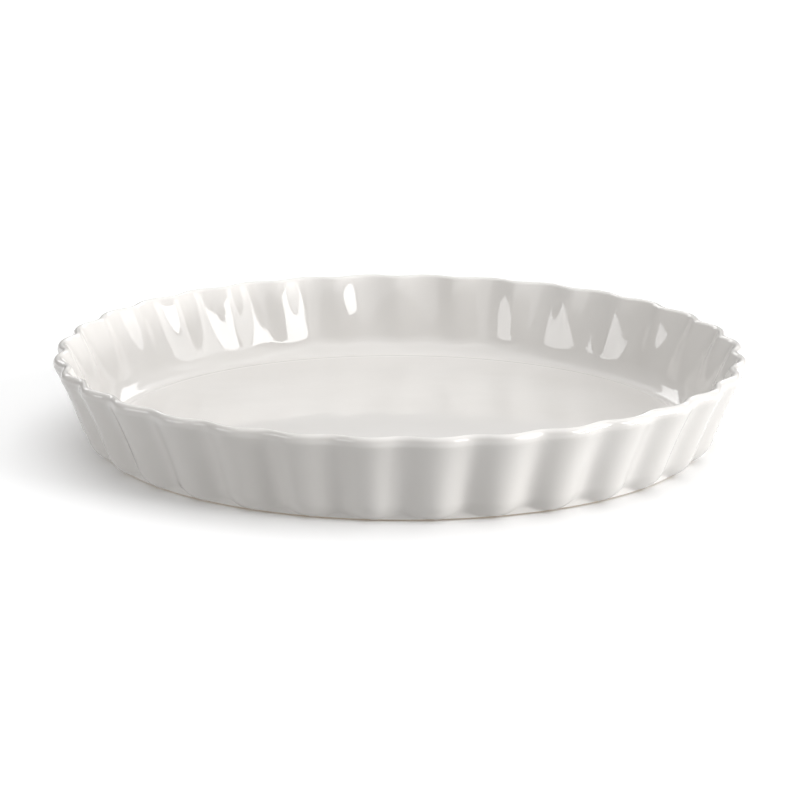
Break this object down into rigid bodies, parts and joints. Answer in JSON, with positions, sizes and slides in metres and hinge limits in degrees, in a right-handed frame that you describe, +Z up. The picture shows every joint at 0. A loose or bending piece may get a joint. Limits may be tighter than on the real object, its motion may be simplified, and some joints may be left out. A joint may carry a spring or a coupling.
{
  "type": "fluted tart dish",
  "caption": "Round fluted tart dish in white glazed stoneware, with a flat inner floor, a rounded wavy rim and a bare clay foot ring.",
  "frame": {"origin": "centre of the foot ring, on the plane the dish stands on", "axes": "+Z up along the axis of the dish; a flute crest lies on +X"},
  "size_m": [0.3, 0.3, 0.04],
  "materials": {
    "bare_clay": "matt, unglazed fired clay",
    "white_glaze": "glossy warm white glaze",
    "underside_glaze": "thinner glossy warm white glaze"
  },
  "bodies": {
    "root": {"stoneware_body": "bare_clay", "glaze_coat": "white_glaze", "underside_glaze": "underside_glaze"}
  },
  "joints": []
}
